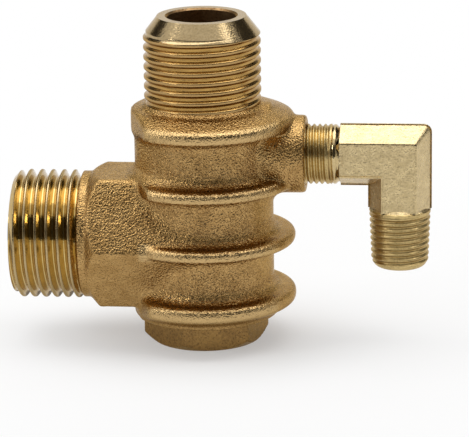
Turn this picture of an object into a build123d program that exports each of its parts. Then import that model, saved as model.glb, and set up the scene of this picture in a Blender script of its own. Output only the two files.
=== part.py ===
"""Brass non-return valve for a piston air compressor, millimetres.

A ribbed forging carries three ports. The inlet spigot, with a cone nose, points up. The tank thread,
behind a hexagon, points along -X. A pilot boss points along +X and holds a screwed elbow. A hexagon
plug closes the chamber from below and guides a sprung poppet, which shuts upwards against the seat.
The origin is the centre of the plug's resting face and +Z runs up the valve axis.
"""
import os
from math import tan, radians

from build123d import *

# Heights and axes
TANK_AXIS_Z = 17.0          # tank port axis above the resting face
PILOT_RISE = 13.9           # pilot port axis above the tank axis
RIB_PITCH = 9.6             # spacing of the ribs up the body
RIB_LIFT = 0.15             # rib beside the tank port, above the tank axis

# Forged body
WALL_R = 11.2               # plain wall between the ribs
NECK_R = 11.9               # neck under the lowest rib
NECK_H = 0.7                # straight part of that neck, below the rib's sloping underside
RIB_R = 14.8                # ribs out to their rim
RIB_T = 2.0                 # rib thickness at the rim
RIB_EDGE_R = 0.9            # rounding along the rim
RIB_ROOT_R = 1.7            # hollow between rib and wall
RIB_FACE_MIN = 0.1          # least flat left beside the rim's rounding
RIB_FLAT_D = 11.6           # two flats of the ribs on the tank side, from the valve axis
RIB_FLAT_TURN = 20.0        # turn of each flat away from the tank axis, degrees
RIB_CORNER_R = 4.0          # rounding where the flats meet the rim
RIB_NOSE_R = 10.0           # rounding where the flats meet each other
RIBS_ABOVE = 2              # ribs above the one beside the tank port
SHOULDER_RISE = 2.6         # top rib's upper face to the inlet thread
SHOULDER_HOLLOW_R = 0.95    # hollow under the inlet thread
PAD_RISE = 1.35             # low pad round the inlet thread, above the top rib
PAD_FALL = 0.25             # fall of the pad towards its edge

# Inlet spigot, 3/4-16 UNF with a 45 degree flare nose
INLET_THREAD_D = 18.9
INLET_THREAD_L = 11.4
INLET_NOSE_D = 14.4         # rim at the top of the nose
INLET_NOSE_ANGLE = 45.0
INLET_BORE_D = 11.2

# Tank port, G 1/2 male
TANK_THREAD_D = 20.955
TANK_THREAD_L = 10.7        # from the collar to the end chamfer
TANK_CHAMFER = 0.9
TANK_BORE_D = 13.0
HEX_AF = 21.4               # hexagon behind the tank thread, across flats
HEX_EDGE_R = 0.7
HEX_REACH = 16.6            # valve axis to where the corners start to be turned down
HEX_CONE_L = 1.86           # length of that turned cone
TANK_COLLAR_D = 20.6        # plain collar between the cone and the thread
TANK_COLLAR_L = 0.94

# Pilot boss and elbow, G 1/8 into the boss and M10 x 1 on the leg
BOSS_R = 6.3
BOSS_REACH = 16.7
BOSS_BLEND_R = 2.2          # hollow between the boss and the wall
BOSS_SINK = 0.1             # start of that hollow below the wall's surface
BOSS_EDGE_R = 0.4
PILOT_THREAD_D = 9.728
PILOT_HOLE_DEPTH = 6.7
PILOT_PASSAGE_D = 4.0
ELBOW_AXIS_X = 31.75        # valve axis to the elbow's down leg
ELBOW_APEX = 5.2            # half width of the arms over their ridges
ELBOW_FLAT = 2.85           # half width of the front and back flats
ELBOW_DEPTH = 4.4           # half depth over the flats
ELBOW_CORNER_R = 1.5        # outer corner
ELBOW_SHOULDER_X = 22.2     # valve axis to where the arm's flats begin
ELBOW_COLLAR_D = 9.3
ELBOW_COLLAR_L = 1.3
ELBOW_LEG_DROP = 8.8        # arm axis to the end of the leg's flats
LEG_THREAD_D = 9.95
LEG_THREAD_L = 6.8
LEG_NOSE_L = 2.85
LEG_NOSE_D = 6.6
ELBOW_BORE_D = 5.0

# Seat and chamber
SEAT_RISE = 8.0             # chamber roof above the tank axis
SEAT_BORE_D = 9.6
SEAT_FLOOR_T = 1.5          # web between the inlet bore and the chamber
SEAT_LIP_H = 0.8
SEAT_LIP_T = 0.9
CHAMBER_D = 14.8

# Bottom plug, M16 x 1
PLUG_AF = 18.0
PLUG_HEAD_H = 4.3
PLUG_TURN = 15.5            # how far the hexagon stands round from +X, degrees
PLUG_CHAMFER_ANGLE = 40.0
PLUG_THREAD_D = 16.0
PLUG_SHANK_L = 5.9
PLUG_WALL_T = 2.3
PLUG_FLOOR_T = 0.4          # pocket floor above the head
GUIDE_WALL_T = 0.75
GUIDE_H = 8.3               # guide sleeve above the pocket floor
O_RING_SECTION_D = 1.5
O_RING_GAP = 0.05           # around the ring in its groove

# Poppet, its facing and spring
POPPET_D = 13.2
POPPET_H = 3.0
FACING_D = 11.8
FACING_T = 1.6
FACING_PROUD = 0.6          # facing above the poppet's rim
HUB_D = 7.4                 # hub that centres the spring
HUB_H = 1.0
STEM_D = 4.8
POPPET_STROKE = 3.2
STROKE_SPARE = 0.15         # stem end above the guide floor when fully open
SPRING_D = 8.9              # middle of the wire
SPRING_WIRE_D = 0.7
SPRING_TURNS = 6.0

# Clearances
THREAD_GAP = 0.04
SLIDE_GAP = 0.05
FACING_GAP = 0.05
SPRING_GAP = 0.05

# Levels worked out from the sizes above
RIB_LEVELS = [TANK_AXIS_Z + RIB_LIFT + step * RIB_PITCH for step in range(-1, RIBS_ABOVE + 1)]
TOP_SHELF_Z = RIB_LEVELS[-1] + RIB_T / 2
INLET_BASE_Z = TOP_SHELF_Z + SHOULDER_RISE
INLET_TOP_Z = INLET_BASE_Z + INLET_THREAD_L
NOSE_H = (INLET_THREAD_D - INLET_NOSE_D) / 2 / tan(radians(INLET_NOSE_ANGLE))
RIM_Z = INLET_TOP_Z + NOSE_H
PILOT_AXIS_Z = TANK_AXIS_Z + PILOT_RISE
CONE_END_X = HEX_REACH + HEX_CONE_L
COLLAR_X = CONE_END_X + TANK_COLLAR_L
TANK_END_X = COLLAR_X + TANK_THREAD_L + TANK_CHAMFER
ROOF_Z = TANK_AXIS_Z + SEAT_RISE
SEAT_Z = ROOF_Z - SEAT_LIP_H
GROOVE_H = O_RING_SECTION_D + 2 * O_RING_GAP
GROOVE_R = PLUG_THREAD_D / 2 - O_RING_SECTION_D / 2 + O_RING_GAP
PLUG_TOP_Z = PLUG_HEAD_H + PLUG_SHANK_L
POCKET_FLOOR_Z = PLUG_HEAD_H + PLUG_FLOOR_T
FACING_BASE_Z = SEAT_Z - FACING_T
POPPET_TOP_Z = SEAT_Z - FACING_PROUD
POPPET_BASE_Z = POPPET_TOP_Z - POPPET_H
STEM_END_Z = POCKET_FLOOR_Z + STROKE_SPARE + POPPET_STROKE


def turned(*outline):
    """A solid turned about the valve axis from (radius, height) corners."""
    face = Plane.XZ * make_face(Polyline(*outline, close=True))
    return revolve(face, Axis.Z)


def upright(radius, low, high):
    """A round bar on the valve axis between two heights."""
    return Pos(0, 0, low) * extrude(Circle(radius), amount=high - low)


def crosswise(radius, start, end, height):
    """A round bar along X between two stations, at a given height."""
    bar = extrude(Plane.YZ * Circle(radius), amount=end - start)
    return Pos(start, 0, height) * bar


def ribbed_shaft():
    """The turned form of the body: neck, ribs, shoulder and inlet spigot, flattened towards the tank."""
    thread_r = INLET_THREAD_D / 2
    outline = [(0, PLUG_HEAD_H), (NECK_R, PLUG_HEAD_H), (NECK_R, PLUG_HEAD_H + NECK_H)]
    roots = []
    rims = []
    for level in RIB_LEVELS:
        below = (WALL_R, level - RIB_T / 2)
        above = (WALL_R, level + RIB_T / 2)
        rim = [(RIB_R, level - RIB_T / 2), (RIB_R, level + RIB_T / 2)]
        outline += [below] + rim + [above]
        roots += [below, above]
        rims += rim
    # The lowest rib slopes out from the neck, and the top one carries the shoulder's pad.
    outline.remove(roots.pop(0))
    outline.remove(roots.pop())
    pad_z = TOP_SHELF_Z + PAD_RISE
    hollow = (thread_r, pad_z + PAD_FALL)
    outline += [(WALL_R, pad_z), hollow, (thread_r, INLET_TOP_Z), (INLET_NOSE_D / 2, RIM_Z), (0, RIM_Z)]

    face = make_face(Polyline(*outline, close=True))
    edge_r = min(RIB_EDGE_R, (RIB_T - RIB_FACE_MIN) / 2)
    root_r = min(RIB_ROOT_R, RIB_R - edge_r - WALL_R - RIB_FACE_MIN)
    for corners, radius in ((rims, edge_r), (roots, root_r), ([hollow], SHOULDER_HOLLOW_R)):
        chosen = [face.vertices().sort_by_distance(corner)[0] for corner in corners]
        face = fillet(chosen, radius)
    shaft = revolve(Plane.XZ * face, Axis.Z)

    reach = RIB_R + RIB_EDGE_R
    plan = Circle(reach)
    beyond = Pos(-RIB_FLAT_D - reach, 0) * Rectangle(2 * reach, 4 * reach)
    for side in (-1, 1):
        plan -= Rot(0, 0, side * RIB_FLAT_TURN) * beyond
    nose, *corners = plan.vertices().sort_by(Axis.X)
    plan = fillet(corners, RIB_CORNER_R)
    plan = fillet(plan.vertices().sort_by_distance(nose)[0], RIB_NOSE_R)
    return shaft & extrude(plan, amount=2 * RIM_Z)


def tank_hexagon():
    """The hexagon of the tank port, its corners turned down to the collar behind the thread."""
    section = RegularPolygon(HEX_AF / 2, 6, major_radius=False)
    bar = Pos(0, 0, TANK_AXIS_Z) * extrude(Plane.YZ * section, amount=-COLLAR_X)
    bar = fillet(bar.edges().filter_by(Axis.X), HEX_EDGE_R)
    corner_r = HEX_AF / 3 ** 0.5
    collar_r = TANK_COLLAR_D / 2
    outline = Polyline(
        (0, 0), (0, corner_r), (-HEX_REACH, corner_r), (-CONE_END_X, collar_r), (-COLLAR_X, collar_r),
        (-COLLAR_X, 0), close=True,
    )
    limit = revolve(Plane.XZ * make_face(outline), Axis.X)
    return bar & Pos(0, 0, TANK_AXIS_Z) * limit


def tank_spigot():
    """The tank thread's plain outline, with a chamfered end."""
    bar = crosswise(TANK_THREAD_D / 2, -TANK_END_X, -COLLAR_X, TANK_AXIS_Z)
    return chamfer(bar.edges().sort_by(Axis.X)[0], TANK_CHAMFER)


def pilot_boss():
    """The pilot boss, with the hollow that leads the wall out into it."""
    half_h = BOSS_R + 2 * BOSS_BLEND_R
    stand = upright(WALL_R - BOSS_SINK, PILOT_AXIS_Z - half_h, PILOT_AXIS_Z + half_h)
    boss = crosswise(BOSS_R, 0, BOSS_REACH, PILOT_AXIS_Z)
    boss = fillet(boss.edges().sort_by(Axis.X)[-1], BOSS_EDGE_R)
    joined = stand + boss
    blended = fillet(new_edges(stand, boss, combined=joined), BOSS_BLEND_R)
    reach = 2 * BOSS_REACH
    return blended & crosswise(BOSS_R + BOSS_BLEND_R, 0, reach, PILOT_AXIS_Z)


def forging():
    """The outside of the body, before any boring."""
    return ribbed_shaft() + pilot_boss() + tank_hexagon() + tank_spigot()


def valve_body():
    """The forging with its ports, seat, chamber and plug thread bored out."""
    plug_r = PLUG_THREAD_D / 2
    inlet = upright(INLET_BORE_D / 2, ROOF_Z + SEAT_FLOOR_T, RIM_Z)
    throat = upright(SEAT_BORE_D / 2, SEAT_Z, ROOF_Z + SEAT_FLOOR_T)
    chamber = upright(CHAMBER_D / 2, PLUG_HEAD_H, ROOF_Z)
    lip = upright(SEAT_BORE_D / 2 + SEAT_LIP_T, SEAT_Z, ROOF_Z)
    plug_hole = upright(plug_r + THREAD_GAP, PLUG_HEAD_H, PLUG_TOP_Z + THREAD_GAP)
    groove = upright(GROOVE_R + O_RING_SECTION_D, PLUG_HEAD_H, PLUG_HEAD_H + GROOVE_H)
    tank_bore = crosswise(TANK_BORE_D / 2, -TANK_END_X, 0, TANK_AXIS_Z)
    pilot_start = BOSS_REACH - PILOT_HOLE_DEPTH
    pilot_hole = crosswise(PILOT_THREAD_D / 2 + THREAD_GAP, pilot_start, BOSS_REACH, PILOT_AXIS_Z)
    passage = crosswise(PILOT_PASSAGE_D / 2, 0, pilot_start, PILOT_AXIS_Z)
    hollow = inlet + throat + (chamber - lip) + plug_hole + groove + tank_bore + pilot_hole + passage
    return forging() - hollow


def bottom_plug():
    """The hexagon plug: head, threaded shank, spring pocket and guide sleeve."""
    corner_r = PLUG_AF / 3 ** 0.5
    face_r = PLUG_AF / 2
    chamfer_h = (corner_r - face_r) * tan(radians(PLUG_CHAMFER_ANGLE))
    head = extrude(RegularPolygon(face_r, 6, major_radius=False, rotation=PLUG_TURN), amount=PLUG_HEAD_H)
    head = head & turned(
        (0, 0), (face_r, 0), (corner_r, chamfer_h), (corner_r, PLUG_HEAD_H), (0, PLUG_HEAD_H),
    )
    shank_r = PLUG_THREAD_D / 2
    groove_r = GROOVE_R - O_RING_GAP
    groove_top = PLUG_HEAD_H + GROOVE_H
    guide_r = STEM_D / 2 + SLIDE_GAP
    sleeve_r = guide_r + GUIDE_WALL_T
    sleeve_top = POCKET_FLOOR_Z + GUIDE_H
    shank = turned(
        (0, PLUG_HEAD_H), (groove_r, PLUG_HEAD_H), (groove_r, groove_top),
        (shank_r, groove_top), (shank_r, PLUG_TOP_Z), (shank_r - PLUG_WALL_T, PLUG_TOP_Z),
        (shank_r - PLUG_WALL_T, POCKET_FLOOR_Z), (sleeve_r, POCKET_FLOOR_Z), (sleeve_r, sleeve_top),
        (guide_r, sleeve_top), (guide_r, POCKET_FLOOR_Z), (0, POCKET_FLOOR_Z),
    )
    return head + shank


def plug_o_ring():
    """The ring that seals the plug under its head."""
    section_r = O_RING_SECTION_D / 2
    ring = Torus(GROOVE_R + section_r - O_RING_GAP, section_r - O_RING_GAP)
    return Pos(0, 0, PLUG_HEAD_H + GROOVE_H / 2) * ring


def valve_poppet():
    """The poppet: a cup for the facing, a hub for the spring and a guided stem."""
    rim_r = POPPET_D / 2
    cup_r = FACING_D / 2 + FACING_GAP
    return turned(
        (0, STEM_END_Z), (STEM_D / 2, STEM_END_Z), (STEM_D / 2, POPPET_BASE_Z - HUB_H),
        (HUB_D / 2, POPPET_BASE_Z - HUB_H), (HUB_D / 2, POPPET_BASE_Z), (rim_r, POPPET_BASE_Z),
        (rim_r, POPPET_TOP_Z), (cup_r, POPPET_TOP_Z), (cup_r, FACING_BASE_Z), (0, FACING_BASE_Z),
    )


def seat_facing():
    """The rubber disc that meets the seat's lip."""
    return upright(FACING_D / 2, FACING_BASE_Z, SEAT_Z)


def return_spring():
    """The coil spring between the plug's pocket and the poppet."""
    wire_r = SPRING_WIRE_D / 2
    low = POCKET_FLOOR_Z + SPRING_GAP + wire_r
    rise = POPPET_BASE_Z - SPRING_GAP - wire_r - low
    path = Pos(0, 0, low) * Helix(rise / SPRING_TURNS, rise, SPRING_D / 2)
    section = Plane(path @ 0, z_dir=path % 0) * Circle(wire_r)
    return sweep(section, path=path)


def elbow_outline(half_width, corner_r):
    """The elbow's outline in the XZ plane, for arms of one half width."""
    end_z = PILOT_AXIS_Z - ELBOW_LEG_DROP
    outer_x = ELBOW_AXIS_X + half_width
    inner_x = ELBOW_AXIS_X - half_width
    top_z = PILOT_AXIS_Z + half_width
    under_z = PILOT_AXIS_Z - half_width
    face = make_face(Polyline(
        (ELBOW_SHOULDER_X, top_z), (outer_x, top_z), (outer_x, end_z),
        (inner_x, end_z), (inner_x, under_z), (ELBOW_SHOULDER_X, under_z), close=True,
    ))
    corner = face.vertices().sort_by(lambda point: point.X + point.Y)[-1]
    return fillet(corner, corner_r)


def pilot_elbow():
    """The forged elbow: ridged arms, a stub screwed into the boss, a threaded leg and a bent bore."""
    ridge = elbow_outline(ELBOW_APEX, ELBOW_CORNER_R)
    flat = elbow_outline(ELBOW_FLAT, ELBOW_CORNER_R * ELBOW_FLAT / ELBOW_APEX / 2)
    middle = Plane.XZ * ridge
    front = Plane.XZ.offset(ELBOW_DEPTH) * flat
    back = Plane.XZ.offset(-ELBOW_DEPTH) * flat
    arms = loft([middle, front], ruled=True) + loft([back, middle], ruled=True)

    collar_x = ELBOW_SHOULDER_X - ELBOW_COLLAR_L
    stub_x = BOSS_REACH - PILOT_HOLE_DEPTH + THREAD_GAP
    stub = crosswise(PILOT_THREAD_D / 2, stub_x, collar_x, PILOT_AXIS_Z)
    collar = crosswise(ELBOW_COLLAR_D / 2, collar_x, ELBOW_AXIS_X, PILOT_AXIS_Z)

    leg_r = LEG_THREAD_D / 2
    leg_top = -ELBOW_LEG_DROP
    nose_top = leg_top - LEG_THREAD_L
    tip = nose_top - LEG_NOSE_L
    leg = turned(
        (0, 0), (ELBOW_FLAT, 0), (ELBOW_FLAT, leg_top), (leg_r, leg_top), (leg_r, nose_top),
        (LEG_NOSE_D / 2, tip), (0, tip),
    )
    leg = Pos(ELBOW_AXIS_X, 0, PILOT_AXIS_Z) * leg
    across = crosswise(ELBOW_BORE_D / 2, stub_x, ELBOW_AXIS_X, PILOT_AXIS_Z)
    down = Pos(ELBOW_AXIS_X, 0, PILOT_AXIS_Z + tip) * extrude(Circle(ELBOW_BORE_D / 2), amount=-tip)
    return arms + stub + collar + leg - across - down


def build():
    """Every piece of the valve, by name."""
    return {
        "valve_body": valve_body(),
        "bottom_plug": bottom_plug(),
        "plug_o_ring": plug_o_ring(),
        "valve_poppet": valve_poppet(),
        "seat_facing": seat_facing(),
        "return_spring": return_spring(),
        "pilot_elbow": pilot_elbow(),
    }


os.makedirs("parts", exist_ok=True)
for name, piece in build().items():
    export_step(piece, f"parts/{name}.step")
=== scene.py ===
"""Brass compressor non-return valve: threads, forged softness, finishes and a plain studio.

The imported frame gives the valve's pieces in metres. The forged body, the screwed elbow, the plug and
the spring are redrawn here with their threads, soft edges and wound ends. The poppet, its facing and
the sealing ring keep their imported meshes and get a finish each. Sizes below are millimetres.
"""
import logging
from dataclasses import dataclass
from enum import Enum
from typing import Any, Callable, Dict, List, Sequence, Tuple, Union

import bmesh
import bpy
import numpy as np
from mathutils import Matrix


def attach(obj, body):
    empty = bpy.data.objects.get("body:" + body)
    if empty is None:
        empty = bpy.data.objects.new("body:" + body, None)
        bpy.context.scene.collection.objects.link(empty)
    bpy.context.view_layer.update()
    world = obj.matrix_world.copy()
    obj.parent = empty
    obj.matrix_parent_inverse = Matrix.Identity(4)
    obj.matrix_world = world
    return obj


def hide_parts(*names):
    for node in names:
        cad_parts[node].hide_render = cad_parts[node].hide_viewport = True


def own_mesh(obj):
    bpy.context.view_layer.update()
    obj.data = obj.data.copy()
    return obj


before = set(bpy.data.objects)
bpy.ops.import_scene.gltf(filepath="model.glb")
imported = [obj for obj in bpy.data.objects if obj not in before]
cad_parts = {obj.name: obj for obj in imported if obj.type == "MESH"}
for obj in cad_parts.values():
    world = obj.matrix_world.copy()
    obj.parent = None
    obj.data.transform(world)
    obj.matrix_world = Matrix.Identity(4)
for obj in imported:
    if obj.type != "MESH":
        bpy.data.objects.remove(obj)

MM = 0.001
FULL_TURN = 2.0 * np.pi
LOG = logging.getLogger("valve")

Colour = Tuple[float, float, float]
Place = Tuple[float, float, float]
Span = Tuple[float, float]
Number = Union["Shade", float]

# How the finishes mix their noises
LAYER_WEIGHT = 0.6              # weight of each finer layer of a noise
LAY_SQUEEZE = 0.06              # of noise across an axis, which draws it out round that axis
CLOUD_STEP = (0.35, 0.65)       # noise over which the clouds go from dull to bright
GRAIN_STEP = (0.25, 0.75)       # the same for the grain
GRAIN_SHARE = 0.6               # of the tone, with the rest from the clouds
PIT_STEP = (0.32, 0.46)         # noise over which a pit rises to the surface
PIT_TONE = 0.35                 # of the dull tone
PIT_ROUGHNESS = 0.3
DIMPLE_WIDTH = 1.6              # in grains
LUMP_WIDTH = 0.4                # in clouds
WORN_RELIEF = 0.2               # share of the relief that wear takes away
WORN_FILM = 0.75                # share of the bright film that wear takes away


class Axis(Enum):
    """The way a turned form points: its axis, then the two directions across it."""

    UP = ((0, 0, 1), (1, 0, 0), (0, 1, 0))
    DOWN = ((0, 0, -1), (1, 0, 0), (0, -1, 0))
    LEFT = ((-1, 0, 0), (0, 1, 0), (0, 0, -1))
    RIGHT = ((1, 0, 0), (0, 1, 0), (0, 0, 1))


class ThreadForm(Enum):
    """Flats of a thread's crest and root, as shares of the triangle between them."""

    ROUNDED = (0.10, 0.10)
    FLATTENED = (0.22, 0.26)


# Shader graphs


class Shade:
    """A shader value: Python operators on it add Math nodes to its graph."""

    def __init__(self, graph: "Graph", socket: Any) -> None:
        """Keep the graph and the output socket that carries the value."""
        self.graph = graph
        self.socket = socket

    def _math(self, operation: str, first: Number, second: Number) -> "Shade":
        """Add one Math node for two values."""
        return self.graph.node("ShaderNodeMath", {"operation": operation}, {0: first, 1: second})

    def __add__(self, other: Number) -> "Shade":
        """This value plus another."""
        return self._math("ADD", self, other)

    def __sub__(self, other: Number) -> "Shade":
        """This value less another."""
        return self._math("SUBTRACT", self, other)

    def __rsub__(self, other: Number) -> "Shade":
        """A number less this value."""
        return self._math("SUBTRACT", other, self)

    def __mul__(self, other: Number) -> "Shade":
        """This value times another."""
        return self._math("MULTIPLY", self, other)

    __radd__ = __add__
    __rmul__ = __mul__

    def step(self, low: float, high: float) -> "Shade":
        """A smooth step of this value, from 0 at the low end to 1 at the high end."""
        inputs = {0: self, 1: low, 2: high, 3: 0.0, 4: 1.0}
        return self.graph.node("ShaderNodeMapRange", {"interpolation_type": "SMOOTHSTEP"}, inputs)

    def past(self, span: Span) -> "Shade":
        """A smooth step of a length, over a span in millimetres."""
        return self.step(span[0] * MM, span[1] * MM)


class Graph:
    """A node tree under construction."""

    def __init__(self, tree: bpy.types.NodeTree) -> None:
        """Empty the tree and start drawing in it."""
        self.tree = tree
        tree.nodes.clear()

    def node(
        self, kind: str, settings: Dict[str, Any], inputs: Dict[Any, Any], output: Union[int, str] = 0
    ) -> Shade:
        """Add any node.

        Args:
            kind: the node's type.
            settings: the node's own options, set before its sockets.
            inputs: values or links of its input sockets, by name or place.
            output: the output socket that is wanted.

        Returns:
            That output as a shader value.
        """
        made = self.tree.nodes.new(kind)
        for key, value in settings.items():
            setattr(made, key, value)
        for key, value in inputs.items():
            if isinstance(value, Shade):
                self.tree.links.new(value.socket, made.inputs[key])
            elif value is not None:
                made.inputs[key].default_value = value
        return Shade(self, made.outputs[output])

    def vector(self, operation: str, first: Shade, second: Any = None) -> Shade:
        """Add one Vector Math node for one or two places, which gives a new place or a length."""
        output = "Value" if operation == "LENGTH" else "Vector"
        return self.node("ShaderNodeVectorMath", {"operation": operation}, {0: first, 1: second}, output)

    def place(self) -> Shade:
        """The place on the object, in metres."""
        return self.node("ShaderNodeTexCoord", {}, {}, "Object")

    def noise(self, size: float, detail: float = 3.0, where: Union[Shade, None] = None) -> Shade:
        """Cloudy noise.

        Args:
            size: width of one cloud in millimetres.
            detail: number of finer layers.
            where: place to read, the object's own by default.

        Returns:
            A value about 0.5.
        """
        vector = where or self.place()
        inputs = {"Vector": vector, "Scale": 1.0 / (size * MM), "Detail": detail, "Roughness": LAYER_WEIGHT}
        return self.node("ShaderNodeTexNoise", {}, inputs, "Fac")

    def dimples(self, size: float) -> Shade:
        """Dimples of a width in millimetres: the distance from the nearest of many scattered points."""
        inputs = {"Vector": self.place(), "Scale": 1.0 / (size * MM)}
        return self.node("ShaderNodeTexVoronoi", {}, inputs, "Distance")

    def mix(self, factor: Number, first: Any, second: Any) -> Shade:
        """A colour between two.

        Args:
            factor: 0 for the first, 1 for the second.
            first: colour or shader colour.
            second: colour or shader colour.

        Returns:
            The mixed colour.
        """
        ends = [tint if isinstance(tint, Shade) else (*tint, 1.0) for tint in (first, second)]
        settings = {"data_type": "RGBA", "clamp_factor": True}
        return self.node("ShaderNodeMix", settings, {0: factor, 6: ends[0], 7: ends[1]}, 2)

    def drawn_out(self, axis: Axis) -> Shade:
        """The place on the object, drawn out across an axis, so that noise read there runs round it."""
        squeeze = tuple(1.0 if part else LAY_SQUEEZE for part in axis.value[0])
        return self.vector("MULTIPLY", self.place(), squeeze)

    def shown(self) -> Shade:
        """1 for rays that show a background: straight to the camera, mirrored or through glass."""
        kinds = ("Camera", "Glossy", "Transmission")
        straight, mirrored, through = (
            self.node("ShaderNodeLightPath", {}, {}, f"Is {kind} Ray") for kind in kinds
        )
        return (straight + mirrored + through).step(0.0, 1.0)

    def bump(self, height: Shade) -> Shade:
        """A relief for the Normal socket from a height in millimetres."""
        inputs = {"Height": height, "Distance": MM, "Strength": 1.0}
        return self.node("ShaderNodeBump", {}, inputs, "Normal")

    def output(self, shader: Shade, kind: str = "Material") -> None:
        """Send a shader to the surface of a material or a world."""
        end = self.tree.nodes.new(f"ShaderNodeOutput{kind}")
        self.tree.links.new(shader.socket, end.inputs["Surface"])


def new_material(name: str) -> Tuple[bpy.types.Material, Graph]:
    """A new material and its empty graph."""
    made = bpy.data.materials.new(name)
    made.use_nodes = True
    return made, Graph(made.node_tree)


@dataclass(frozen=True)
class RibWearAndSheen:
    """The rims of the ribs: handling has smoothed their blasted grain, and their paler tone is partly bare
    metal, partly a painted highlight.
    """

    level: float = 17.15        # height of one rib
    pitch: float = 9.6
    rim: Span = (1.25, 1.625)   # height from a rib's middle over which the smoothing and the painted highlight end
    reach: Span = (13.3, 14.3)  # radius over which it starts
    tank_side: Span = (-9.9, -8.91)     # x over which it clears the hexagon
    boss_side: Span = (12.0, 13.2)      # x over which it ends at the boss

    def share(self, graph: Graph) -> Shade:
        """How far the surface is smoothed by handling and painted paler as a highlight.

        The share is the product of steps: out along the radius, across the height of the nearest rim, and
        away from the hexagon and the boss.

        Args:
            graph: the graph to draw in.

        Returns:
            A value between 0 and 1.
        """
        x, y, z = (graph.node("ShaderNodeSeparateXYZ", {}, {0: graph.place()}, part) for part in "XYZ")
        radius = graph.node("ShaderNodeMath", {"operation": "SQRT"}, {0: x * x + y * y})
        fold = {0: z - self.level * MM, 1: 0.5 * self.pitch * MM}
        from_rib = graph.node("ShaderNodeMath", {"operation": "PINGPONG"}, fold)
        clear = x.past(self.tank_side) * (1.0 - x.past(self.boss_side))
        return (1.0 - from_rib.past(self.rim)) * clear * radius.past(self.reach)


@dataclass(frozen=True)
class CrestWearAndSheen:
    """The crests of a thread: scuffed by handling, and given a greyer tone than the grooves that is partly
    a painted reflection.
    """

    axis: Axis
    reach: Span                 # radius over which the scuffing and the painted reflection start
    level: float = 0.0          # height of the thread's axis, where it lies flat

    def share(self, graph: Graph) -> Shade:
        """How scuffed the surface is, and how much painted reflection it has: a step of the distance from
        the thread's axis.

        Args:
            graph: the graph to draw in.

        Returns:
            A value between 0 and 1.
        """
        across = tuple(0.0 if part else 1.0 for part in self.axis.value[0])
        from_axis = graph.vector("SUBTRACT", graph.place(), (0.0, 0.0, self.level * MM))
        return graph.vector("LENGTH", graph.vector("MULTIPLY", from_axis, across)).past(self.reach)


@dataclass(frozen=True)
class Metal:
    """A metal surface: two tones clouded together, a grain and a gloss."""

    name: str
    bright: Colour
    dull: Colour
    roughness: float
    spread: float = 0.1         # change of roughness between the tones
    cloud: float = 3.0          # width of the tone's clouds
    grain: float = 0.35         # width of the surface grain
    relief: float = 0.02        # depth of that grain
    pits: float = 0.0           # share of dark pits in the grain
    coat: float = 0.0           # thin bright film
    lumps: float = 0.0          # depth of the slow unevenness under the grain
    blast: float = 0.0          # depth of blasted dimples over the grain
    lay: Union[Axis, None] = None   # axis that the grain runs round
    edge: Colour = (0.75, 0.64, 0.46)   # tint of the mirror seen at a low angle
    film: float = 1.5           # refraction of the bright film
    # the places smoothed by handling, whose tone also paints highlights on rib rims and reflections on
    # thread crests
    wear_and_sheen_mask: Union[RibWearAndSheen, CrestWearAndSheen, None] = None
    wear_and_sheen_tone: Union[Colour, None] = None  # tone of the scuffed places, painted paler: a highlight on rib rims, a reflection on thread crests
    polish: float = 0.06        # loss of roughness in the worn places

    def material(self) -> bpy.types.Material:
        """Draw the metal as a material.

        Returns:
            The material, with tone, roughness and relief from its nodes.
        """
        made, graph = new_material(self.name)
        clouds = graph.noise(self.cloud).step(*CLOUD_STEP)
        lay = graph.drawn_out(self.lay) if self.lay else None
        grain = graph.noise(self.grain, detail=1.0, where=lay)
        pit = 1.0 - grain.step(*PIT_STEP)
        film: Number = self.coat
        relief = grain * self.relief
        if self.blast:
            relief = relief + graph.dimples(DIMPLE_WIDTH * self.grain) * self.blast
        gloss = self.roughness + self.spread * (0.5 - clouds) + PIT_ROUGHNESS * self.pits * pit
        if self.wear_and_sheen_mask:
            wear_and_sheen = self.wear_and_sheen_mask.share(graph)
            relief = relief * (1.0 - WORN_RELIEF * wear_and_sheen)
            gloss = gloss - self.polish * wear_and_sheen
            pit = pit * (1.0 - wear_and_sheen)
            film = self.coat * (1.0 - WORN_FILM * wear_and_sheen)
        relief = relief + graph.noise(LUMP_WIDTH * self.cloud) * self.lumps
        bright = clouds * (1.0 - GRAIN_SHARE) + grain.step(*GRAIN_STEP) * GRAIN_SHARE
        tone = graph.mix(bright, self.dull, self.bright)
        tone = graph.mix(pit * self.pits, tone, tuple(PIT_TONE * part for part in self.dull))
        # a paler tone in those places: painted highlights on rib rims, painted reflections on thread crests
        if self.wear_and_sheen_mask:
            tone = graph.mix(wear_and_sheen, tone, self.wear_and_sheen_tone)
        inputs = {
            "Base Color": tone,
            "Metallic": 1.0,
            "Roughness": gloss,
            "Coat Weight": film,
            "Coat Roughness": self.roughness,
            "Coat IOR": self.film,
            "Specular Tint": (*self.edge, 1.0),
            "Normal": graph.bump(relief),
        }
        graph.output(graph.node("ShaderNodeBsdfPrincipled", {}, inputs))
        return made


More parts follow.
